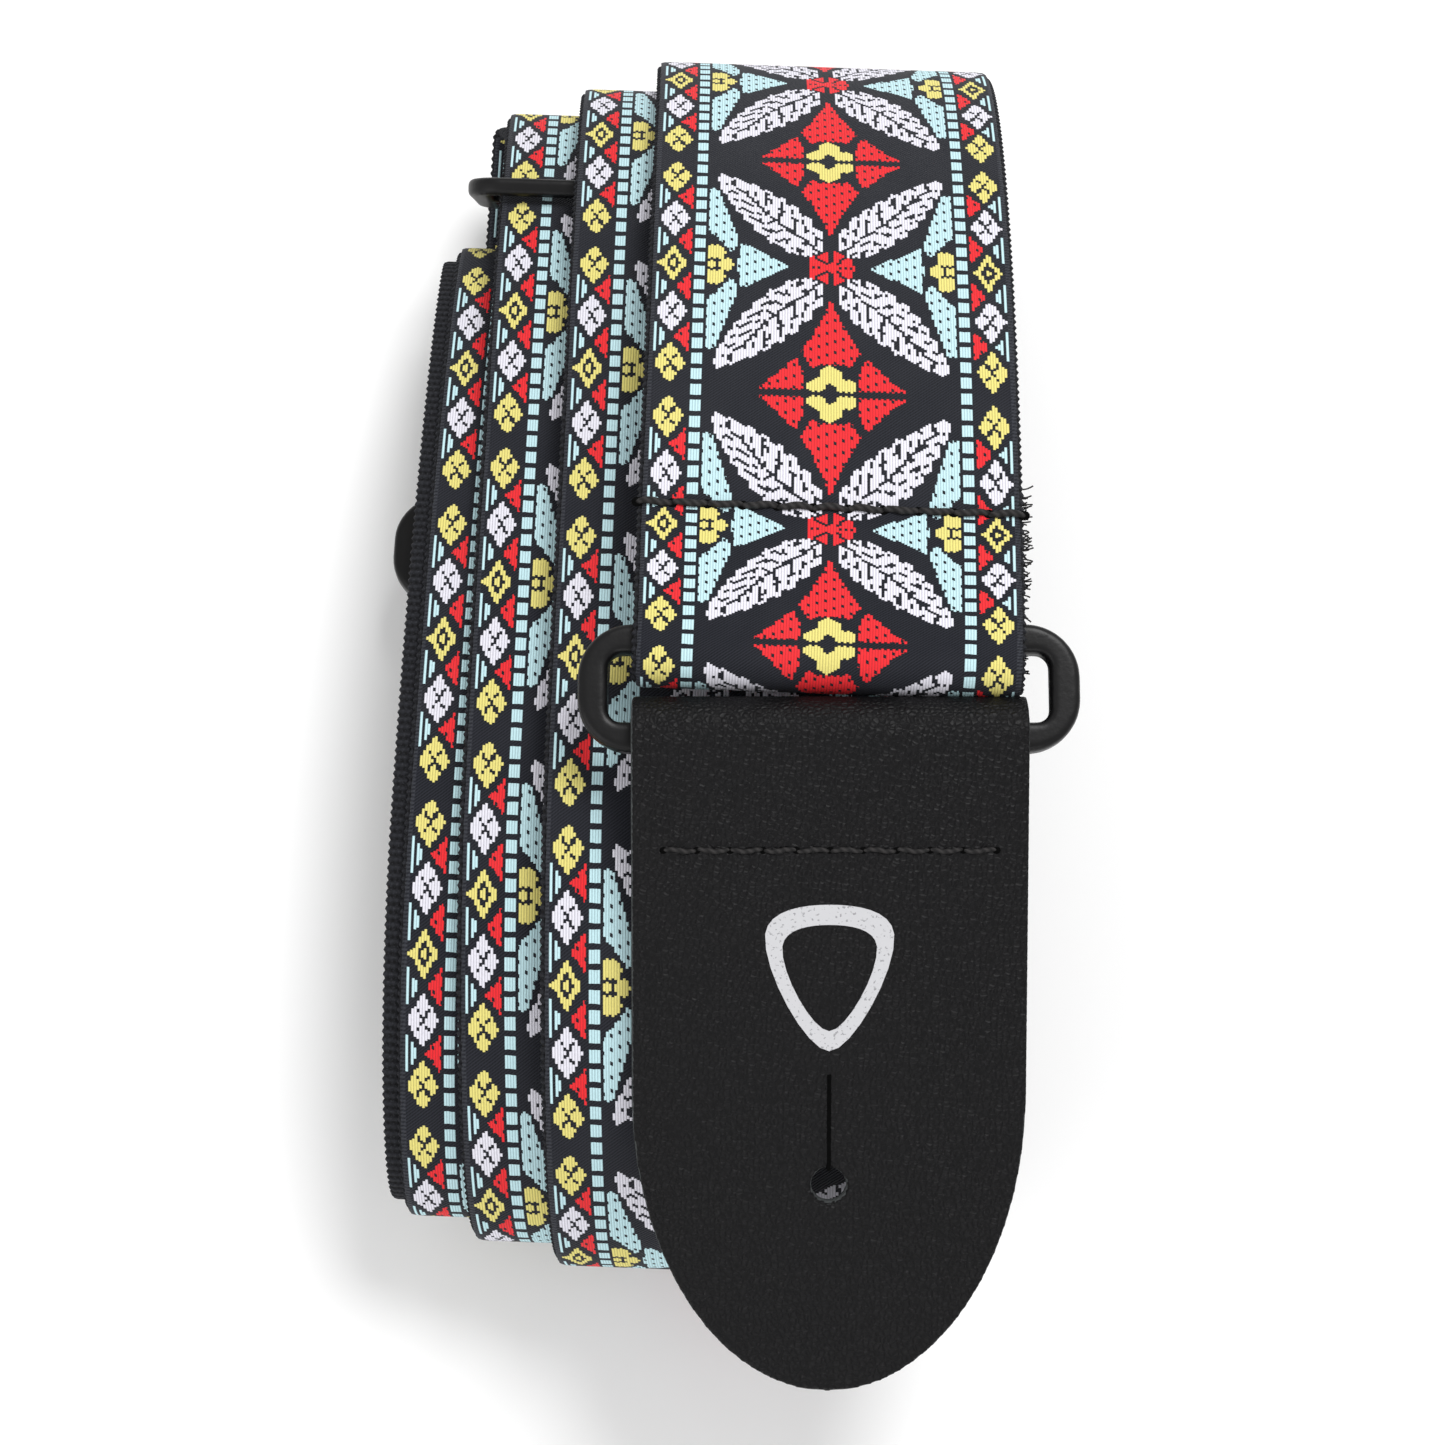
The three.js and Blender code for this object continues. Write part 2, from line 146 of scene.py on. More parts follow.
def to_world(p):
    """From the coil's own frame in mm to the CAD frame in metres."""
    p = np.asarray(p, float)
    c, s = math.cos(COIL_TURN), math.sin(COIL_TURN)
    q = np.stack([c * p[..., 0] - s * p[..., 1], s * p[..., 0] + c * p[..., 1], p[..., 2]], -1)
    return (q + COIL_PLACE) * MM


def under_flap():
    """The strap's end, doubled under itself beyond ring A."""
    top = coil(RING_A_START)
    run = np.linspace(FLAP_RUN, FLAP_START, 25)
    above = coil(RING_A_START + run / (TAU * FAR_REACH))[:, 2]
    close = smooth(run, FLAP_CLOSES, SEAM_RUN)
    drop = 2 * FOLD_RADIUS + (PLY_PITCH - 2 * FOLD_RADIUS) * close
    y = RING_BAR_Y - FOLD_SLACK + run
    return np.stack([np.full(run.shape, top[0]), y, above - drop], -1)


def return_ply(start, end):
    """The ply that runs back from ring B, inside the outer one."""
    n = np.linspace(start, end, 1200)
    opening = smooth(n, RING_B_TURN - RING_B_OPENING_TURNS, RING_B_TURN)
    depth = PLY_PITCH + (2 * FOLD_RADIUS - PLY_PITCH) * opening
    join = smooth(n, RETURN_END, RETURN_END + RETURN_JOIN_TURNS)
    return inset(n, depth, RETURN_SHIFT * join * (1 - opening))


def main_route():
    """The strap from its end under ring A to the slider, and where the coil starts in it."""
    top = coil(RING_A_START)
    fold_a = np.array([top[0], RING_BAR_Y - FOLD_SLACK, top[2] - FOLD_RADIUS])
    h = heading(RING_B_TURN)
    fold_b = inset(RING_B_TURN, FOLD_RADIUS)
    parts = [
        under_flap(),
        half_circle(fold_a, FOLD_RADIUS, top[0], 0)[:-1],
        coil(np.linspace(RING_A_START, RING_B_TURN, 3000)),
        half_circle(fold_b, FOLD_RADIUS, fold_b[0], math.atan2(-h[2], -h[1]))[1:-1],
        return_ply(RING_B_TURN, RETURN_END + GIVE_TURNS),
    ]
    crest_index = len(parts[0]) + len(parts[1])
    return np.concatenate(parts), crest_index


def lengths(points):
    return np.concatenate([[0], np.cumsum(np.linalg.norm(np.diff(points, axis=0), axis=1))])


def resample(points, spacing):
    s = lengths(points)
    at = np.linspace(0, s[-1], int(round(s[-1] / spacing)) + 1)
    return np.stack([np.interp(at, s, points[:, k]) for k in range(3)], -1), at


def normals_of(points):
    """The side of the ply that faces out of the coil."""
    t = np.gradient(points, axis=0)
    t[:, 0] = 0
    t /= np.linalg.norm(t, axis=1, keepdims=True)
    return np.stack([np.zeros(len(t)), -t[:, 2], t[:, 1]], -1)


# ---- meshes ----
def add_object(name, data):
    obj = bpy.data.objects.new(name, data)
    bpy.context.scene.collection.objects.link(obj)
    return obj


def shade_smooth(mesh):
    mesh.polygons.foreach_set("use_smooth", [True] * len(mesh.polygons))


def mesh_object(name, verts, faces, material):
    mesh = bpy.data.meshes.new(name)
    mesh.from_pydata([tuple(v) for v in verts], [], faces)
    mesh.update()
    obj = add_object(name, mesh)
    mesh.materials.append(material)
    shade_smooth(mesh)
    return obj


def quads_between(a, b, sides):
    """Quads from the ring of vertices that starts at a to the one at b."""
    return [(a + k, a + (k + 1) % sides, b + (k + 1) % sides, b + k) for k in range(sides)]


def end_caps(total, sides):
    return [tuple(reversed(range(sides))), tuple(range(total - sides, total))]


def band(name, points, spacing, section, material, start=0.0, tight=1.0):
    """A closed band along a route, with the weave's (u, along) as its UV map.

    section(at) gives the outline (u, offset) at all stations. Along starts at
    `start`, and before it the weave is drawn `tight` times tighter.
    """
    stations, at = resample(points, spacing)
    normal = normals_of(stations)
    u, o = section(at)
    count, sides = u.shape
    local = stations[:, None, :] + normal[:, None, :] * o[..., None]
    local[..., 0] += u
    verts = to_world(local).reshape(-1, 3)
    faces = []
    for i in range(count - 1):
        faces += quads_between(i * sides, (i + 1) * sides, sides)
    faces += end_caps(count * sides, sides)
    obj = mesh_object(name, verts, faces, material)
    uv = obj.data.uv_layers.new(name="weave")
    loops = np.zeros(len(obj.data.loops), dtype=np.int32)
    obj.data.loops.foreach_get("vertex_index", loops)
    along = np.where(at < start, (at - start) * tight, at - start)
    flat = np.stack([u.reshape(-1), np.repeat(along, sides)], -1)
    uv.data.foreach_set("uv", flat[loops].astype(np.float32).reshape(-1))
    fix_normals(obj)
    return obj


def fix_normals(obj):
    bm = bmesh.new()
    bm.from_mesh(obj.data)
    bmesh.ops.recalc_face_normals(bm, faces=bm.faces)
    bm.to_mesh(obj.data)
    bm.free()


def wave(at, pitch):
    """0 at the start of each pitch and 1 in its middle."""
    return 0.5 - 0.5 * np.cos(TAU * at / pitch)


def outline_rows(ring, at):
    """The same outline at every station, as its u and its offset."""
    rows = np.tile(np.array(ring, float), (len(at), 1, 1))
    return rows[..., 0], rows[..., 1]


def mirrored(edge):
    return [(-u, o) for u, o in reversed(edge)]


def webbing_section(at):
    """Rounded edges drawn in between the ribs, and a ribbed inner face."""
    gap = (1 - wave(at, RIB_PITCH))[:, None]
    h, low, high = STRAP_HALF, WEBBING_LOW, WEBBING_TOP
    edge = [(h - 0.8, high), (h - 0.22, 0.04), (h, -0.32), (h - 0.22, -0.68), (h - 0.8, low)]
    ring = edge + [(8.0, low), (-8.0, low)] + mirrored(edge) + [(0.0, high)]
    u, o = outline_rows(ring, at)
    u = u - np.sign(u) * (np.abs(u) > h - 0.5) * gap * RIB_SIDE_DEPTH
    o = o + (o < -0.6) * gap * RIB_DEPTH
    return u, o


def ribbon_section(at):
    """A thin face whose selvedges dip a little, ripple and wander sideways."""
    ripple = wave(at, 2 * RIB_PITCH)[:, None]
    drift = np.clip(0.12 * np.sin(at / 31.0) + 0.08 * np.sin(at / 12.3), -0.1, 0.1)[:, None]
    h = RIBBON_HALF
    middle = np.linspace(-h + 4, h - 4, 9)
    top = np.concatenate([RIM_STEPS - h, middle, (h - RIM_STEPS)[::-1]])
    dip = np.concatenate([RIM_DIPS, 0 * middle, RIM_DIPS[::-1]])
    ring = list(zip(top, RIBBON_TOP - dip)) + [(h - 0.1, RIBBON_LOW), (-h + 0.1, RIBBON_LOW)]
    u, o = outline_rows(ring, at)
    rim = (np.abs(u) > h - 0.3).astype(float)
    u = u - np.sign(u) * rim * ripple * 0.1 + rim * drift
    return u, o


def remeshed(node, name, voxel, relax, material):
    """A finer copy of a CAD node with its corners eased."""
    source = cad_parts[node]
    mesh = source.data.copy()
    mesh.transform(source.matrix_world)
    obj = add_object(name, mesh)
    bm = bmesh.new()
    bm.from_mesh(mesh)
    bmesh.ops.remove_doubles(bm, verts=bm.verts, dist=1e-6)
    bm.to_mesh(mesh)
    bm.free()
    remesh = obj.modifiers.new("fine", "REMESH")
    remesh.mode = "VOXEL"
    remesh.voxel_size = voxel * MM
    relaxing = obj.modifiers.new("ease", "SMOOTH")
    relaxing.factor = 0.5
    relaxing.iterations = relax
    graph = bpy.context.evaluated_depsgraph_get()
    baked = bpy.data.meshes.new_from_object(obj.evaluated_get(graph))
    obj.modifiers.clear()
    obj.data = baked
    baked.name = name
    baked.materials.clear()
    baked.materials.append(material)
    shade_smooth(baked)
    return obj


# A direction that no tube follows, to orient their rings.
TUBE_UP = [0.13, 0.27, 0.95]


def tube(path, radius, sides=8):
    """Rings round a path of points in metres, as vertices and faces."""
    path = np.asarray(path, float)
    tangent = np.gradient(path, axis=0)
    tangent /= np.linalg.norm(tangent, axis=1, keepdims=True)
    radius = np.broadcast_to(radius, len(path))
    verts, faces = [], []
    for i, (p, t) in enumerate(zip(path, tangent)):
        across = np.cross(t, TUBE_UP)
        across /= np.linalg.norm(across)
        up = np.cross(across, t)
        for k in range(sides):
            a = TAU * k / sides
            verts.append(p + radius[i] * (math.cos(a) * across + math.sin(a) * up))
        if i:
            faces += quads_between((i - 1) * sides, i * sides, sides)
    return verts, faces + end_caps(len(verts), sides)


def join_parts(name, parts, material):
    verts, faces = [], []
    for v, f in parts:
        base = len(verts)
        verts += v
        faces += [tuple(i + base for i in face) for face in f]
    obj = mesh_object(name, verts, faces, material)
    fix_normals(obj)
    return obj


# ---- node expressions ----
class Value:
    """A socket that builds Math nodes from arithmetic."""

    def __init__(self, tree, socket):
        self.tree, self.socket = tree, socket

    def math(self, operation, *others):
        node = self.tree.nodes.new("ShaderNodeMath")
        node.operation = operation
        for i, item in enumerate([self, *others]):
            if isinstance(item, Value):
                self.tree.links.new(item.socket, node.inputs[i])
            else:
                node.inputs[i].default_value = float(item)
        return Value(self.tree, node.outputs[0])

    def __add__(self, b):
        return self.math("ADD", b)

    def __sub__(self, b):
        return self.math("SUBTRACT", b)

    def __mul__(self, b):
        return self.math("MULTIPLY", b)

    def __truediv__(self, b):
        return self.math("DIVIDE", b)

    def __lt__(self, b):
        return self.math("LESS_THAN", b)

    def __gt__(self, b):
        return self.math("GREATER_THAN", b)

    def __and__(self, b):
        return self.math("MULTIPLY", b)

    def __or__(self, b):
        return self.math("MAXIMUM", b)

    def flip(self):
        return self * -1 + 1

    def abs(self):
        return self.math("ABSOLUTE")

    def floor(self):
        return self.math("FLOOR")

    def fract(self):
        return self.math("FRACT")

    def sin(self):
        return self.math("SINE")

    def power(self, e):
        return self.at_least(0.0).math("POWER", e)

    def at_least(self, b):
        return self.math("MAXIMUM", b)

    def at_most(self, b):
        return self.math("MINIMUM", b)


def new_material(name):
    material = bpy.data.materials.new(name)
    material.use_nodes = True
    tree = material.node_tree
    return material, tree, tree.nodes["Principled BSDF"]


def linear(r, g, b):
    """An sRGB colour, 0 to 255, as linear RGBA."""
    channels = [((c / 255 + 0.055) / 1.055) ** 2.4 if c > 10 else c / 255 / 12.92 for c in (r, g, b)]
    return (*channels, 1.0)


# Places of the colour sockets on a Mix node.
MIX_A, MIX_B, MIX_RESULT = 6, 7, 2


def mix(tree, factor, a, b):
    node = tree.nodes.new("ShaderNodeMix")
    node.data_type = "RGBA"
    for key, item in (("Factor", factor), (MIX_A, a), (MIX_B, b)):
        socket = node.inputs[key]
        if isinstance(item, Value):
            tree.links.new(item.socket, socket)
        elif hasattr(item, "is_output"):
            tree.links.new(item, socket)
        else:
            socket.default_value = item
    return node.outputs[MIX_RESULT]


def noise_value(tree, coords, scale, detail):
    node = tree.nodes.new("ShaderNodeTexNoise")
    node.inputs["Scale"].default_value = scale
    node.inputs["Detail"].default_value = detail
    tree.links.new(coords, node.inputs["Vector"])
    return Value(tree, node.outputs[0])


def add_bump(tree, bsdf, height, depth_mm, strength):
    node = tree.nodes.new("ShaderNodeBump")
    node.inputs["Strength"].default_value = strength
    node.inputs["Distance"].default_value = depth_mm * MM
    tree.links.new(height.socket, node.inputs["Height"])
    tree.links.new(node.outputs["Normal"], bsdf.inputs["Normal"])


def set_surface(tree, bsdf, colour, roughness, specular=None):
    """The base colour from nodes, and the rest on the shader's own sockets where it is uniform."""
    tree.links.new(colour, bsdf.inputs["Base Color"])
    if isinstance(roughness, Value):
        tree.links.new(roughness.socket, bsdf.inputs["Roughness"])
    else:
        bsdf.inputs["Roughness"].default_value = roughness
    if specular is not None:
        bsdf.inputs["Specular IOR Level"].default_value = specular


def object_coords(tree):
    return tree.nodes.new("ShaderNodeTexCoord").outputs["Object"]


def weave_uv(tree):
    """Across the strap, along it, and both as coordinates, in mm."""
    node = tree.nodes.new("ShaderNodeUVMap")
    node.uv_map = "weave"
    split = tree.nodes.new("ShaderNodeSeparateXYZ")
    tree.links.new(node.outputs["UV"], split.inputs[0])
    return Value(tree, split.outputs[0]), Value(tree, split.outputs[1]), node.outputs["UV"]


def ellipse(x, y, cx, cy, rx, ry):
    dx = (x - cx) / rx
    dy = (y - cy) / ry
    return (dx * dx + dy * dy) < 1.0


# Places of the woven figures, in mm from the strap's middle line or from a flower.
LEAF_ROOT, LEAF_DIRECTION = (1.5, 2.5), (0.675, 0.738)
LEAF_LENGTH, LEAF_WIDTH, VEIN_PITCH = 21.6, 9.0, 2.55
LADDER_EDGE, LADDER_AT, RUNGS = 16.9, 18.05, 17
BORDER_AT, BORDER_DIAMONDS, DIAMOND_HALF = 21.75, 5, 2.15
SELVEDGE_EDGE = 24.15
AQUA, RED = linear(196, 230, 236), linear(236, 44, 50)
YELLOW, WHITE = linear(232, 220, 128), linear(230, 228, 238)


def jacquard():
    """The woven figures: flowers, stars, leaves, kites, a ladder and a border."""
    material, tree, bsdf = new_material("jacquard_weave")
    u, v, coords = weave_uv(tree)
    # x is the distance from the middle line, f from the nearest red flower and
    # s from the nearest yellow star, all in whole threads and picks.
    wander = noise_value(tree, coords, 0.9, 1.0) - 0.5
    thread = (u / THREAD_PITCH).floor()
    x = ((thread + 0.5) * THREAD_PITCH).abs()
    odd = (thread * 0.5).fract() * 2
    along = v - FLOWER_AT + wander * 0.25
    pick_at = ((along / PICK_PITCH + odd * 0.5).floor() - odd * 0.5 + 0.5) * PICK_PITCH
    f = pick_at.math("PINGPONG", REPEAT / 2)
    s = f * -1 + REPEAT / 2

    # Ticks where the floats are tied down.
    gx = u / TICK_PITCH_ACROSS
    column = gx.floor()
    gy = v / TICK_PITCH_ALONG + (column * 0.5).fract() + gx * 0.25
    tick = ((gx.fract() - 0.5).abs() < 0.17) & ((gy.fract() - 0.5).abs() < 0.14)

    # Red flower with eight lobes.
    angle = f.math("ARCTAN2", x)
    radius = (x * x + f * f * 1.25).math("SQRT")
    spoke = ((angle * 4).sin().abs() * radius < 0.9) & (radius > 1.0)
    flower = (radius < (angle * 8).sin() * -0.2 + 3.3) & spoke.flip()

    # Aqua kites and the yellow half flowers beside the ladder.
    kite = (f < (x - 5.4) * 0.6) & (x < f * -0.12 + 12.9)
    petal = ellipse(x, f, 15.9, 2.25, 1.3, 1.45) | ellipse(x, f, 14.6, 0.0, 1.1, 1.1)
    petal = (petal | ellipse(x, f, 16.7, 0.0, 0.9, 1.0)) & (x < LADDER_EDGE)
    petal = petal & (((f - 0.9).abs() < 0.2) & (x > 15.0)).flip()
    tear = (f > (x - 13.6) * 1.25 + 2.4) & (x < LADDER_EDGE)
    tear = tear & (x > (f - 4.8).at_least(0.0) * 0.29 + 12.8) & (x > (f * -1 + 4.8) * 0.5 + 12.6)
    tear = tear & (f < 15.2)

    # Leaves, in their own frame: length along the midrib and across it.
    lx, ly = LEAF_DIRECTION
    px = x - LEAF_ROOT[0]
    py = f - LEAF_ROOT[1]
    length = px * lx + py * ly
    across = px * ly - py * lx
    t = (length / LEAF_LENGTH).at_least(0.0)
    lobes = ((length - across.abs() * 0.6) * (math.pi / 2.7)).sin().abs()
    width = t.power(0.5) * t.flip().power(0.8) * LEAF_WIDTH * (lobes * 0.2 + 0.82)
    leaf = (across.abs() < width) & (length > 0.35)
    curl = (across * 1.7 + length * 0.55).sin() * 0.55
    branch = ((length - across.abs() * 1.25 + curl) / VEIN_PITCH).fract() < 0.19
    branch = branch & (across.abs() < width * 0.82)
    midrib = (across + (length * 0.5).sin() * 0.22).abs() < 0.2
    scroll = ((across.abs() - 1.9).abs() < 0.24) & ((length / VEIN_PITCH + 0.3).fract() < 0.42)
    scroll = scroll & (t < 0.62)
    veins = branch | (midrib & (t < 0.86)) | scroll
    leaf = leaf & veins.flip()

    # Yellow star with a diamond hole, and its red petals.
    lobe = ellipse(x, s, 0.0, 3.05, 1.5, 1.5) | ellipse(x, s, 2.05, 1.2, 1.25, 1.2)
    lobe = lobe | ellipse(x, s, 1.15, 1.95, 0.85, 0.9)
    hole = (x / 1.25 + s / 2.05) < 1.0
    star = lobe & hole.flip() & ((s < 0.27) & (x > 0.8)).flip()
    taper = ((s * -1 + 16.4) / 9.5).power(1.3) * 4.0
    shoulder = (s - 6.9) * 0.55 + 4.0
    long_petal = (x < taper) & (x < shoulder) & (s > (x * x) * -0.09 + 5.0)
    side_petal = (x > (s - 3.0).at_least(0.0) * 0.36 + 3.65) & (s > 0.5)
    side_petal = side_petal & (s < ((x * -1 + 10.6) / 6.2).power(1.25) * 6.1 + 0.35) & (x < 10.5)

    # Ladder.
    rung = (x - LADDER_AT).abs() < 0.76
    rung_step = (along * (RUNGS / REPEAT)).fract()
    ladder = rung & ((rung_step - 0.5).abs() < 0.345)

    # Border: five diamonds to a repeat, with triangles on both sides.
    bx = (x - BORDER_AT).abs()
    pitch = REPEAT / BORDER_DIAMONDS
    second_d = (f - pitch).abs()
    third_d = (f - 2 * pitch).abs()
    first = bx / DIAMOND_HALF + f / 3.7
    second = bx / DIAMOND_HALF + second_d / 3.7
    third = bx / DIAMOND_HALF + third_d / 3.55
    bowed = first + bx * f * 0.1
    open_star = ((bowed < 1.02) & (bowed > 0.55)) | (first < 0.2)

    def diamond(value, d):
        cross = (bx * 0.55 - d * 0.3).abs() < 0.1
        dots = ((bx - 0.75).abs() < 0.2) & ((d - 1.15).abs() < 0.3)
        heart = (bx < 0.2) & (d < 0.45)
        inner = (cross & (value < 0.62) & (value > 0.2)) | dots | heart
        return (value < 1.0) & inner.flip()

    between = (f - pitch / 2).abs().at_most((f - pitch * 1.5).abs())
    red_side = (between < (x * -1 + 21.35) * 1.25) & (x > 19.35)
    aqua_side = (between < (x - 22.35) * 1.7) & (x < 23.35)
    sliver = ((x - 23.9).abs() < 0.2) & (between < 2.5)

    red = flower | long_petal | side_petal | red_side
    aqua = kite | tear | ladder | aqua_side | sliver
    yellow = petal | star | open_star | diamond(third, third_d)
    white = leaf | diamond(second, second_d)
    ticked = (long_petal | side_petal | kite | tear | red_side) & tick
    untied = ticked.flip()
    any_float = (red | aqua | yellow | white) & untied

    # Ground twill and thread relief. The relief is also painted into the colour: painted highlights on the
    # twill ridges and the selvedge's picks, painted shade at the edges of each round thread.
    twill = ((u * 1.1 - v * 1.35) / 0.62 + wander * 0.4).fract()
    twill_line = (twill - 0.5).abs() * 2
    fibre = noise_value(tree, coords, 3.2, 2.0)
    shade = noise_value(tree, coords, 0.05, 2.0)
    selvedge = x > SELVEDGE_EDGE
    pick = ((v * (TAU / 0.55)).sin() * 0.5 + 0.5) & selvedge

    # Painted light: the twill ridges and the selvedge's picks are painted lighter, their hollows darker.
    base = mix(tree, twill_line, linear(12, 13, 17), linear(40, 42, 50))
    base = mix(tree, selvedge & pick, base, linear(58, 60, 66))
    for mask, colour in ((aqua, AQUA), (red, RED), (yellow, YELLOW), (white, WHITE)):
        base = mix(tree, mask & untied, base, colour)
    round_thread = ((u / THREAD_PITCH).fract() * math.pi).sin()
    # Painted shade at the edges of each round thread, mixed with random fibre tone.
    thread_shade_and_fibre = mix(tree, round_thread.flip() * 0.35 + (fibre - 0.5) * 0.2, base, linear(40, 42, 50))
    final = mix(tree, (shade - 0.5).abs() * 0.12, thread_shade_and_fibre, linear(120, 120, 125))
    set_surface(tree, bsdf, final, 0.62, 0.14)
    bsdf.inputs["Sheen Weight"].default_value = 0.03

    height = any_float * 0.6 + round_thread * any_float * 0.35
    height = height + any_float.flip() * twill_line * 0.45 + fibre * 0.2 + pick * 0.4
    add_bump(tree, bsdf, height, 0.22, 0.8)
    return material


def webbing():
    material, tree, bsdf = new_material("black_webbing")
    u, v, coords = weave_uv(tree)
    rib = (v * (TAU / RIB_PITCH)).sin() * 0.5 + 0.5
    cord = ((u + (v / RIB_PITCH).floor() * 0.4) * (TAU / 0.8)).sin() * 0.5 + 0.5
    fibre = noise_value(tree, coords, 4.0, 3.0)
    # Painted light: the rib and cord crests are painted lighter and the grooves between them darker, on top
    # of the same relief in the bump.
    base = mix(tree, rib * 0.6 + cord * 0.25, linear(12, 12, 14), linear(44, 45, 50))
    base = mix(tree, (fibre - 0.55).at_least(0.0) * 1.6, base, linear(86, 88, 94))
    set_surface(tree, bsdf, base, 0.78, 0.15)
    add_bump(tree, bsdf, rib * 0.7 + cord * 0.4 + fibre * 0.3, 0.25, 0.8)
    return material


def grain(tree, coords, scale):
    node = tree.nodes.new("ShaderNodeTexVoronoi")
    node.feature = "DISTANCE_TO_EDGE"
    node.inputs["Scale"].default_value = scale
    node.inputs["Randomness"].default_value = 0.9
    tree.links.new(coords, node.inputs["Vector"])
    return Value(tree, node.outputs["Distance"])


def leather():
    material, tree, bsdf = new_material("grained_leather")
    coords = object_coords(tree)
    pebble = (grain(tree, coords, 1350.0) * 3.2).at_most(1.0)
    crease = (grain(tree, coords, 620.0) * 4.0).at_most(1.0)
    fine = noise_value(tree, coords, 2600.0, 3.0)
    patch = noise_value(tree, coords, 60.0, 3.0)
    # Painted shade: darker in the creases between the pebbles, lighter on their tops, with random patches of
    # tone.
    base = mix(tree, pebble * 0.55 + patch * 0.3, linear(5, 5, 6), linear(19, 18, 20))
    # Painted highlights: small light specks on the grain.
    base = mix(tree, (fine - 0.62).at_least(0.0) * 1.3, base, linear(80, 77, 80))
    set_surface(tree, bsdf, base, pebble * -0.12 + patch * 0.16 + 0.47, 0.17)
    add_bump(tree, bsdf, pebble * 0.8 + crease * 0.25 + fine * 0.25, 0.18, 0.75)
    return material


def cut_edge():
    material, tree, bsdf = new_material("leather_cut_edge")
    coords = object_coords(tree)
    fibre = noise_value(tree, coords, 2200.0, 4.0)
    patch = noise_value(tree, coords, 300.0, 2.0)
    base = mix(tree, fibre * 0.8 + patch * 0.3 - 0.2, linear(30, 31, 33), linear(104, 108, 108))
    set_surface(tree, bsdf, base, 0.9, 0.1)
    add_bump(tree, bsdf, fibre + patch * 0.5, 0.2, 0.9)
    return material


def plastic():
    material, tree, bsdf = new_material("satin_plastic")
    coords = object_coords(tree)
    mottle = noise_value(tree, coords, 1500.0, 3.0)
    scuff = noise_value(tree, coords, 180.0, 4.0)
    base = mix(tree, scuff * 0.6, linear(12, 12, 13), linear(27, 26, 27))
    set_surface(tree, bsdf, base, scuff * 0.16 + 0.3, 0.22)
    add_bump(tree, bsdf, mottle, 0.05, 0.5)
    return material


# Turn of the thread's strands, in radians to a metre.
TWIST_RATE = 5200


def sewing_thread():
    material, tree, bsdf = new_material("sewing_thread")
    coords = object_coords(tree)
    split = tree.nodes.new("ShaderNodeSeparateXYZ")
    tree.links.new(coords, split.inputs[0])
    slant = Value(tree, split.outputs[0]) * TWIST_RATE + Value(tree, split.outputs[1]) * TWIST_RATE
    twist = slant.sin() * 0.5 + 0.5
    fibre = noise_value(tree, coords, 5000.0, 2.0)
    # Painted light: the twisted strands are painted lighter on their crests and darker in the grooves between
    # them, with random fibre tone.
    base = mix(tree, twist * 0.7 + fibre * 0.3, linear(9, 9, 10), linear(52, 50, 50))
    set_surface(tree, bsdf, base, 0.7, 0.25)
    add_bump(tree, bsdf, twist + fibre * 0.3, 0.12, 0.9)
    return material


def foil():
    material, tree, bsdf = new_material("silver_foil")
    coords = object_coords(tree)
    speck = noise_value(tree, coords, 2400.0, 4.0)
    worn = (speck > 0.62) * 0.55
    base = mix(tree, worn, linear(204, 204, 207), linear(96, 96, 100))
    set_surface(tree, bsdf, base, 0.5)
    add_bump(tree, bsdf, speck, 0.08, 0.7)
    bsdf.inputs["Metallic"].default_value = 0.35
    return material


# Painted shade: a near-black stand-in for the darkness inside the needle holes and the keyhole's slit.
def void_black():
    material, tree, bsdf = new_material("painted_hole_shade")
    coords = object_coords(tree)
    base = mix(tree, noise_value(tree, coords, 900.0, 1.0), linear(3, 3, 3), linear(9, 9, 9))
    set_surface(tree, bsdf, base, 0.95, 0.05)
    return material


JACQUARD, WEBBING, LEATHER, EDGE = jacquard(), webbing(), leather(), cut_edge()
PLASTIC, THREAD, FOIL, HOLE_SHADE = plastic(), sewing_thread(), foil(), void_black()

# ---- strap ----
points, crest_index = main_route()
route_length = lengths(points)
seam_turn = RING_A_START + SEAM_RUN / (TAU * FAR_REACH)
crest = slice(crest_index, crest_index + 200)
seam_at = np.interp(coil(seam_turn)[1], points[crest, 1], route_length[crest])
backing = band("strap_backing", points, BACKING_SPACING, webbing_section, WEBBING, seam_at)
ribbon = band("woven_ribbon", points, RIBBON_SPACING, ribbon_section, JACQUARD, seam_at, TIGHT_FOLD)
for piece, node, slot in ((backing, "strap_webbing", "webbing"), (ribbon, "jacquard_ribbon", "jacquard")):
    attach(piece, "strap")
    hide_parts(node)


# ---- tail round the slider's bar, and the ply that gives way to it ----
SLIDER_BAR, SLIDER_CLEAR, BAR_CLEAR, TAIL_CLEAR = 2.6, 0.5, 0.3, 0.4
# Turns past the slider's bar where the tail starts, where it ends and where the
# ply that gives way begins.
TAIL_TURNS, TAIL_END_TURNS, GIVE_START = 0.021, np.array([0.004, 0.007]), 0.0075
centre_drop = PLY / 2 + SLIDER_CLEAR + PLY + BAR_CLEAR + SLIDER_BAR / 2
tail_radius = SLIDER_BAR / 2 + TAIL_CLEAR + PLY / 2
slider_heading = heading(SLIDER_TURN)
slider_x = coil(SLIDER_TURN)[0]
slider_centre = inset(SLIDER_TURN, centre_drop)
slider_angle = math.atan2(slider_heading[2], slider_heading[1])


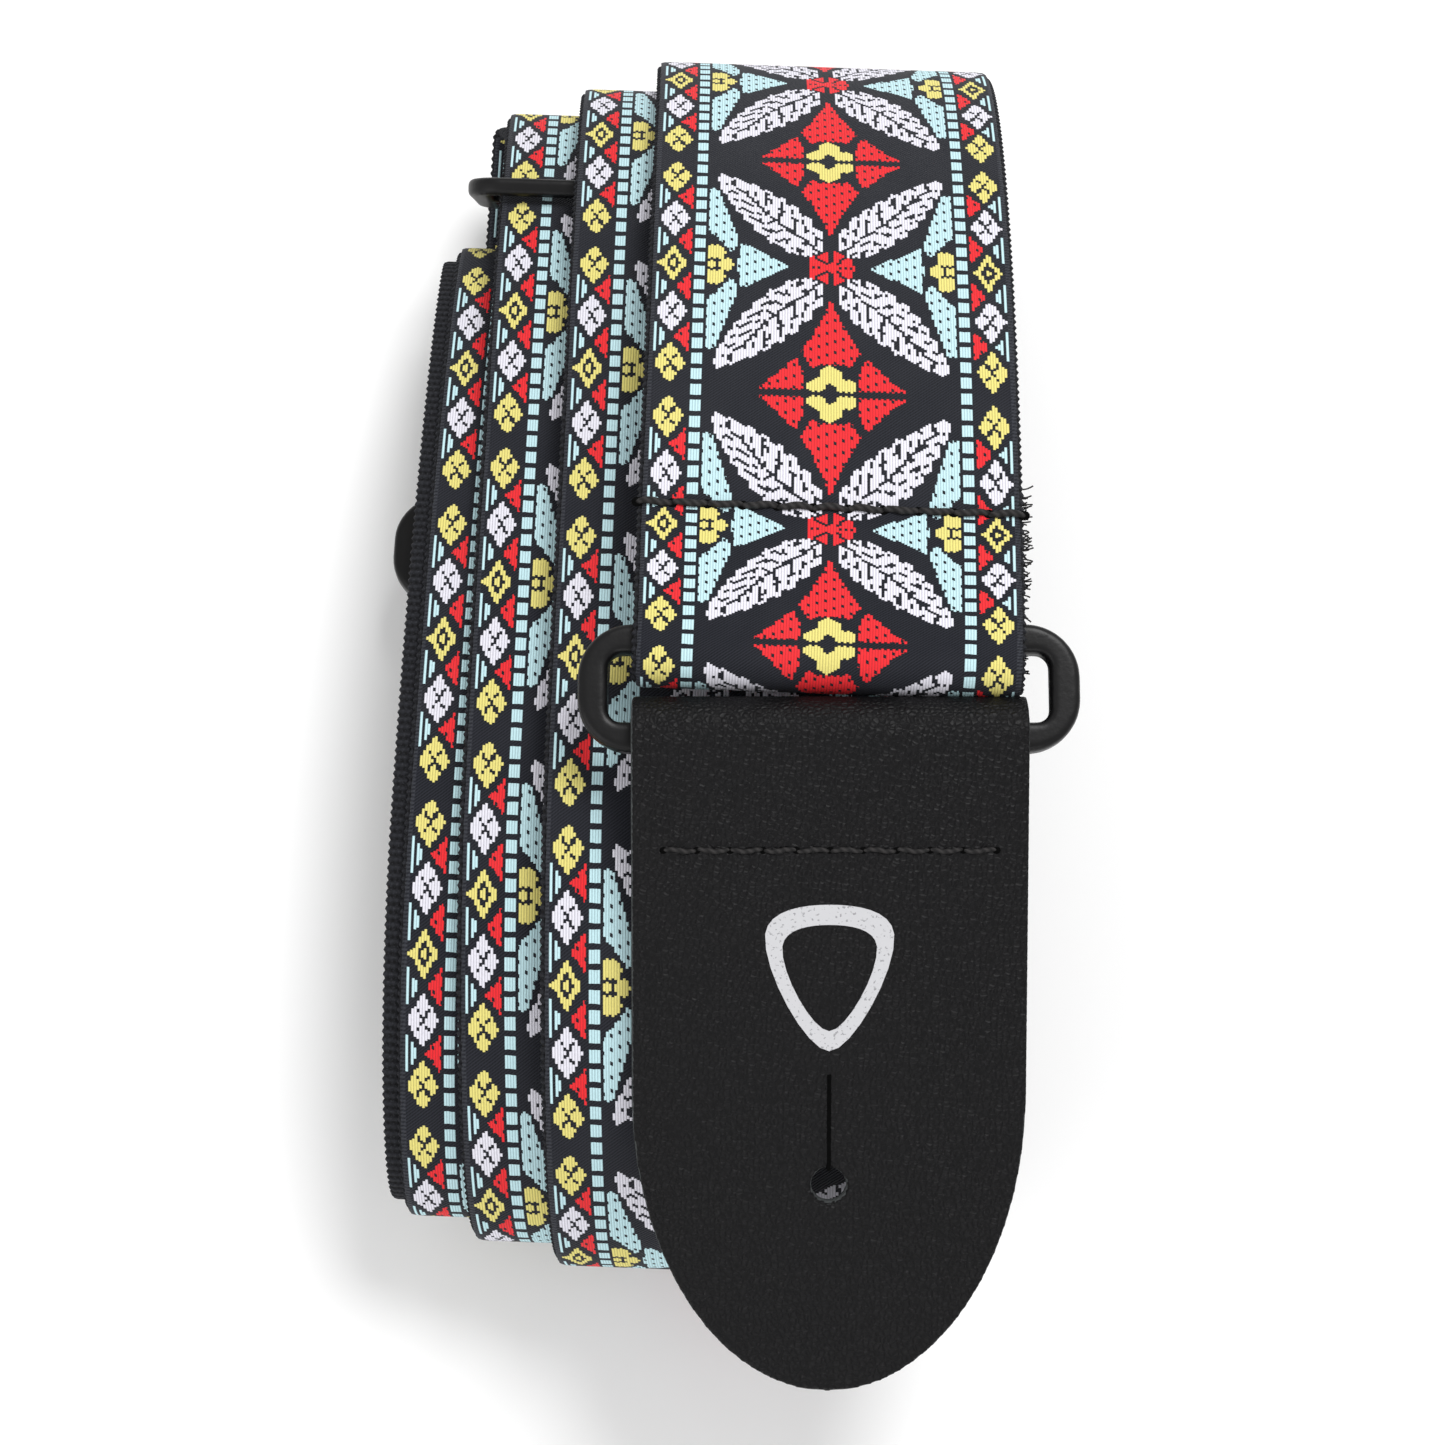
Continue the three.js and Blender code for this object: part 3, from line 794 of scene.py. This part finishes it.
def full_section(at):
    """Ribbed webbing on the outside of the whole ply."""
    gap = (1 - wave(at, RIB_PITCH))[:, None]
    h, low, high = STRAP_HALF, -PLY / 2, PLY / 2
    edge = [(h - 0.9, high), (h - 0.25, 0.5), (h, 0.0), (h - 0.25, -0.5), (h - 0.9, low)]
    ring = edge + [(8.0, low), (-8.0, low)] + mirrored(edge) + [(-8.0, high), (8.0, high)]
    u, o = outline_rows(ring, at)
    u = u - np.sign(u) * (np.abs(u) > h - 0.5) * gap * RIB_SIDE_DEPTH
    o = o - np.sign(o) * (np.abs(o) > 0.7) * gap * RIB_DEPTH
    return u, o


tail_turns = SLIDER_TURN + TAIL_TURNS * np.array([1.0, 0.66, 0.33])
tail = np.concatenate([
    inset(tail_turns, centre_drop + tail_radius + np.array([0.1, 0.1, 0.0])),
    half_circle(slider_centre, tail_radius, slider_x, slider_angle, 16),
    inset(SLIDER_TURN + TAIL_END_TURNS, centre_drop - tail_radius),
])
tail[:, 0] = slider_x
tail_piece = band("tail_fold", tail, BACKING_SPACING, full_section, WEBBING)
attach(tail_piece, "slider")
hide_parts("tail_webbing")

give_turns = np.linspace(SLIDER_TURN + GIVE_START, RETURN_END + GIVE_TURNS, 80)
settled = smooth(give_turns, SLIDER_TURN + TAIL_END_TURNS[1], RETURN_END + 0.03)
give_depth = centre_drop - tail_radius + (PLY_PITCH - centre_drop + tail_radius) * settled
give_shift = RETURN_SHIFT * smooth(give_turns, RETURN_END, RETURN_END + RETURN_JOIN_TURNS)
give = inset(give_turns, give_depth, give_shift)
give_piece = band("return_give", give, BACKING_SPACING, full_section, WEBBING)
ends = to_world(give[[0, -1]])
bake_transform(give_piece)

# ---- rings and slider ----
PLASTIC_VOXEL, PLASTIC_EASE = 0.28, 5
LEATHER_VOXEL, LEATHER_EASE = 0.42, 3
for node, name, slot in (
    ("ring_a", "ring_a_frame", "ring_plastic"),
    ("ring_b", "ring_b_frame", "ring_plastic"),
    ("slider", "slider_frame", "slider_plastic"),
):
    piece = remeshed(node, name, PLASTIC_VOXEL, PLASTIC_EASE, PLASTIC)
    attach(piece, node)
    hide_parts(node)


# ---- leather tabs ----
TAB_SLOPE, RING_A_TILT, BAR_PITCH = math.radians(21), math.radians(6), 12.9
TAB_SEAM, LEATHER_OUT, TAB_FOLD_SLACK = -14.5, 4.8, 0.65
KEYHOLE_Y, SLIT_START, SLIT_LENGTH = -58.1, 1.9, 12.6
SLIT_WIDTH, SLIT_DEPTH, SLIT_SINK = 0.5, 2.36, 1.15
# The CAD emblem's outer face is above the split, and the visible mark is thinner.
MARK_SPLIT, MARK_SINK, MARK_THICK = 0.45, 0.1, 0.2
STITCH_DIP, STITCH_WANDER = 0.25, 0.14
HOLE_SIDES, HOLE_TOP, HOLE_BOTTOM = 14, 0.05, -0.2


def tab_frame(bar, ring_tilt, slope, yaw):
    """From a tab's own frame in mm, flap along -Y, to the CAD frame in metres."""
    coil_frame = Matrix.Translation(Vector(COIL_PLACE)) @ Matrix.Rotation(COIL_TURN, 4, "Z")
    ring = Matrix.Translation(Vector(bar)) @ Matrix.Rotation(yaw, 4, "Z") @ Matrix.Rotation(ring_tilt, 4, "X")
    tab = Matrix.Translation((0, -BAR_PITCH, 0)) @ Matrix.Rotation(slope - ring_tilt, 4, "X")
    return Matrix.Scale(MM, 4) @ coil_frame @ ring @ tab @ Matrix.Translation((0, TAB_FOLD_SLACK, 0))


top_a = coil(RING_A_START)
frames = {
    "a": tab_frame((top_a[0], RING_BAR_Y, top_a[2] - FOLD_RADIUS), RING_A_TILT, TAB_SLOPE, -COIL_TURN),
    "b": tab_frame(tuple(inset(RING_B_TURN, FOLD_RADIUS)), 0.0, 0.0, 0.0),
}


def paint_cut_edges(piece, matrix):
    """The faces on the leather's cut sides get the second material."""
    piece.data.materials.append(EDGE)
    inverse = matrix.inverted()
    turn = inverse.to_3x3().normalized()
    for face in piece.data.polygons:
        at = inverse @ face.center
        n = (turn @ face.normal).normalized()
        is_cut = abs(n.x) > 0.8 or (at.y < TAB_SEAM - 1 and abs(n.z) < 0.5)
        face.material_index = 1 if is_cut else 0


def stitch_row(name, place, half, pitch, radius, lift, body, node):
    """Stitches that dive into a hole every pitch.

    place(x, height, aside) takes mm from the row's middle and gives metres.
    """
    count = int(2 * half / pitch)
    start = -count * pitch / 2
    parts, hole_shades = [], []
    for i in range(count):
        s = np.linspace(0, 1, 13)
        x = start + (i + s) * pitch
        z = -STITCH_DIP + (lift + STITCH_DIP) * np.sin(math.pi * s) ** 0.45
        path = [place(a, b, STITCH_WANDER * math.sin(TAU * c + i)) for a, b, c in zip(x, z, s)]
        swell = radius * (0.72 + 0.28 * np.sin(math.pi * s))
        parts.append(tube(path, swell * MM))
    # Dark discs of painted shade over each needle hole.
    turns = [TAU * k / HOLE_SIDES for k in range(HOLE_SIDES)]
    n = HOLE_SIDES
    for i in range(count + 1):
        centre = start + i * pitch
        disc = [
            place(centre + 1.5 * radius * math.cos(a), height, 1.35 * radius * math.sin(a))
            for height in (HOLE_TOP, HOLE_BOTTOM)
            for a in turns
        ]
        faces = [tuple(range(n)), tuple(reversed(range(n, 2 * n)))]
        faces += [(k, n + k, n + (k + 1) % n, (k + 1) % n) for k in range(n)]
        hole_shades.append((disc, faces))
    row = join_parts(name, parts, THREAD)
    dark = join_parts(name + "_holes", hole_shades, HOLE_SHADE)
    for piece in (row, dark):
        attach(piece, body)
    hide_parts(node)


for letter, matrix in frames.items():
    node = f"leather_tab_{letter}"
    piece = remeshed(node, f"tab_{letter}_leather", LEATHER_VOXEL, LEATHER_EASE, LEATHER)
    paint_cut_edges(piece, matrix)
    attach(piece, f"tab_{letter}")
    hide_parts(node)

    def on_tab(x, height, aside, matrix=matrix):
        return np.array(matrix @ Vector((x, TAB_SEAM + aside, LEATHER_OUT + height)))

    stitch_row(f"tab_{letter}_stitches", on_tab, 21.4, 4.25, 0.33, 0.12,
               f"tab_{letter}", f"tab_{letter}_thread")

    # A dark box of painted shade in the keyhole's slit.
    slit_y = KEYHOLE_Y + SLIT_START + SLIT_LENGTH / 2
    slit_box = bmesh.new()
    bmesh.ops.create_cube(slit_box, size=1.0)
    slit_mesh = bpy.data.meshes.new(f"tab_{letter}_slit")
    slit_box.transform(matrix @ Matrix.Translation((0, slit_y, LEATHER_OUT - SLIT_SINK))
                       @ Matrix.Diagonal((SLIT_WIDTH, SLIT_LENGTH, SLIT_DEPTH, 1)))
    slit_box.to_mesh(slit_mesh)
    slit_box.free()
    slit = add_object(f"tab_{letter}_slit", slit_mesh)
    slit_mesh.materials.append(HOLE_SHADE)
    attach(slit, f"tab_{letter}")

    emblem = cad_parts[f"tab_{letter}_emblem"]
    mesh = emblem.data.copy()
    mesh.transform(emblem.matrix_world)
    inverse = matrix.inverted()
    for vertex in mesh.vertices:
        at = inverse @ vertex.co
        at.z = LEATHER_OUT - MARK_SINK + MARK_THICK * (at.z > LEATHER_OUT + MARK_SPLIT)
        vertex.co = matrix @ at
    mark = add_object(f"tab_{letter}_mark", mesh)
    mesh.materials.clear()
    mesh.materials.append(FOIL)
    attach(mark, f"tab_{letter}")
    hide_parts(f"tab_{letter}_emblem")

# ---- seam that closes the fold round ring A ----
seam_point, seam_heading = coil(seam_turn), heading(seam_turn)


def on_strap(x, height, aside):
    outward = np.array([0, -seam_heading[2], seam_heading[1]])
    local = seam_point + seam_heading * aside
    return to_world(local + np.array([x, 0, 0]) + outward * (PLY / 2 + height))


stitch_row("ring_seam", on_strap, 25.3, 4.6, 0.5, 0.34, "strap", "ring_seam_thread")

# Fibres that stand out of the cut flap under the right edge.
FIBRE_COUNT, FIBRE_SEED, FIBRE_RADIUS = 90, 11, 0.11
draw = np.random.default_rng(FIBRE_SEED)
under = under_flap()
fibres = []
for _ in range(FIBRE_COUNT):
    k = draw.integers(0, len(under))
    root = under[k] + np.array([STRAP_HALF - 0.3, draw.uniform(-0.5, 0.5), draw.uniform(-0.5, 0.6)])
    reach = draw.uniform(0.5, 1.5)
    bend = draw.uniform(-0.6, 0.6, 2)
    t = np.linspace(0, 1, 6)
    path = root + np.stack([reach * t, bend[0] * t * t, bend[1] * t * t], -1)
    fibres.append(tube(to_world(path), FIBRE_RADIUS * MM, 5))
fray = join_parts("flap_fray", fibres, THREAD)
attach(fray, "strap")

# ---- stage, light and camera ----
FLOOR_HALF, FLOOR_GREY, WORLD_STRENGTH = 3.0, 0.97, 0.62
LIGHT_TARGET = Vector((0, 0, 0.03))
CAMERA_LENS, CAMERA_PLACE, CAMERA_ELEVATION = 66.62, (0.00172, -0.11019, 0.39537), 74.335

corners = [(FLOOR_HALF * x, FLOOR_HALF * y, 0) for x, y in ((-1, -1), (1, -1), (1, 1), (-1, 1))]
floor_mesh = bpy.data.meshes.new("floor")
floor_mesh.from_pydata(corners, [], [(0, 1, 2, 3)])
floor = add_object("floor", floor_mesh)
floor_paint, _, floor_bsdf = new_material("pale_floor")
floor_bsdf.inputs["Base Color"].default_value = (FLOOR_GREY, FLOOR_GREY, FLOOR_GREY, 1)
floor_bsdf.inputs["Roughness"].default_value = 0.9
floor_mesh.materials.append(floor_paint)

world = bpy.data.worlds.new("studio")
bpy.context.scene.world = world
world.use_nodes = True
background = world.node_tree.nodes["Background"]
background.inputs["Color"].default_value = (1, 1, 1, 1)
background.inputs["Strength"].default_value = WORLD_STRENGTH


def area_light(name, place, size, power):
    light = bpy.data.lights.new(name, "AREA")
    light.shape = "DISK"
    light.size = size
    light.energy = power
    obj = add_object(name, light)
    obj.location = place
    obj.rotation_mode = "QUATERNION"
    obj.rotation_quaternion = (LIGHT_TARGET - Vector(place)).to_track_quat("-Z", "Y")


area_light("key", (0.25, 0.35, 0.75), 0.35, 4.6)
area_light("fill", (-0.7, -0.5, 0.6), 0.8, 2.4)
area_light("front", (0.1, -0.9, 0.5), 0.6, 1.6)

camera_data = bpy.data.cameras.new("camera")
camera_data.lens = CAMERA_LENS
camera_data.sensor_width = 36.0
camera_data.clip_start = 0.01
camera = add_object("camera", camera_data)
camera.location = CAMERA_PLACE
camera.rotation_euler = (math.radians(90 - CAMERA_ELEVATION), 0, 0)
bpy.context.scene.camera = camera
bpy.context.scene.view_settings.view_transform = "Standard"
bpy.context.scene.view_settings.exposure = 0.0

bpy.context.view_layer.update()
